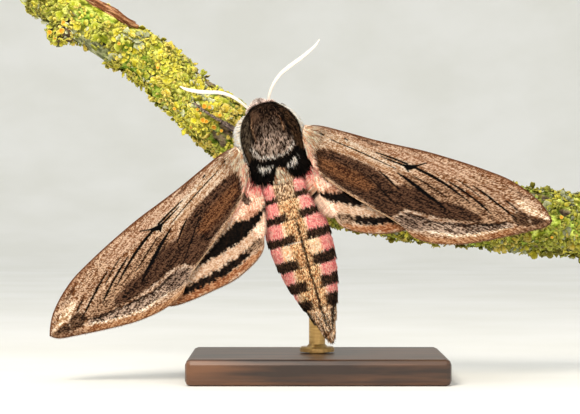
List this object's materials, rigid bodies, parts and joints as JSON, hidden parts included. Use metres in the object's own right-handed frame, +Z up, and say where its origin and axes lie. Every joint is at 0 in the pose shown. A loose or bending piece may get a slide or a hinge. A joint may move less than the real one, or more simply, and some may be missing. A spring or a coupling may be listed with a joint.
{
  "type": "moth model",
  "caption": "Life-size museum model of a large hawk moth, wings half spread, gripping a short cut branch on a plain display stand",
  "frame": {"origin": "middle of the underside of the stand's base, straight below the rod", "axes": "+Z up, +X to the right along the branch as the moth's back is seen, -Y out of the moth's back towards the viewer"},
  "size_m": [0.1126, 0.0383, 0.082],
  "materials": {
    "grey_fur": "short greyish pink fur",
    "eye": "glossy dark brown",
    "antenna": "white scales above, brown below",
    "brown_fur": "dense brown-black fur",
    "banded_scales": "tan back, pink and black bands at the sides",
    "wing_scales": "fine brown and buff scales with dark streaks",
    "rosy_scales": "rosy cream scales with two black bands",
    "leg_scales": "grey-brown scales",
    "bark": "bark covered in yellow-green lichen",
    "brass": "satin brass",
    "dark_wood": "stained and waxed hardwood"
  },
  "bodies": {
    "root": {"head": "grey_fur", "eye_left": "eye", "eye_right": "eye", "palp_left": "grey_fur", "palp_right": "grey_fur", "antenna_left": "antenna", "antenna_right": "antenna", "thorax": "brown_fur", "abdomen": "banded_scales", "forewing_left": "wing_scales", "forewing_right": "wing_scales", "hindwing_left": "rosy_scales", "hindwing_right": "rosy_scales", "foreleg_left": "leg_scales", "foreleg_right": "leg_scales", "midleg_left": "leg_scales", "midleg_right": "leg_scales", "hindleg_left": "leg_scales", "hindleg_right": "leg_scales", "perch_branch": "bark", "stand_rod": "brass", "stand_base": "dark_wood"}
  },
  "joints": []
}
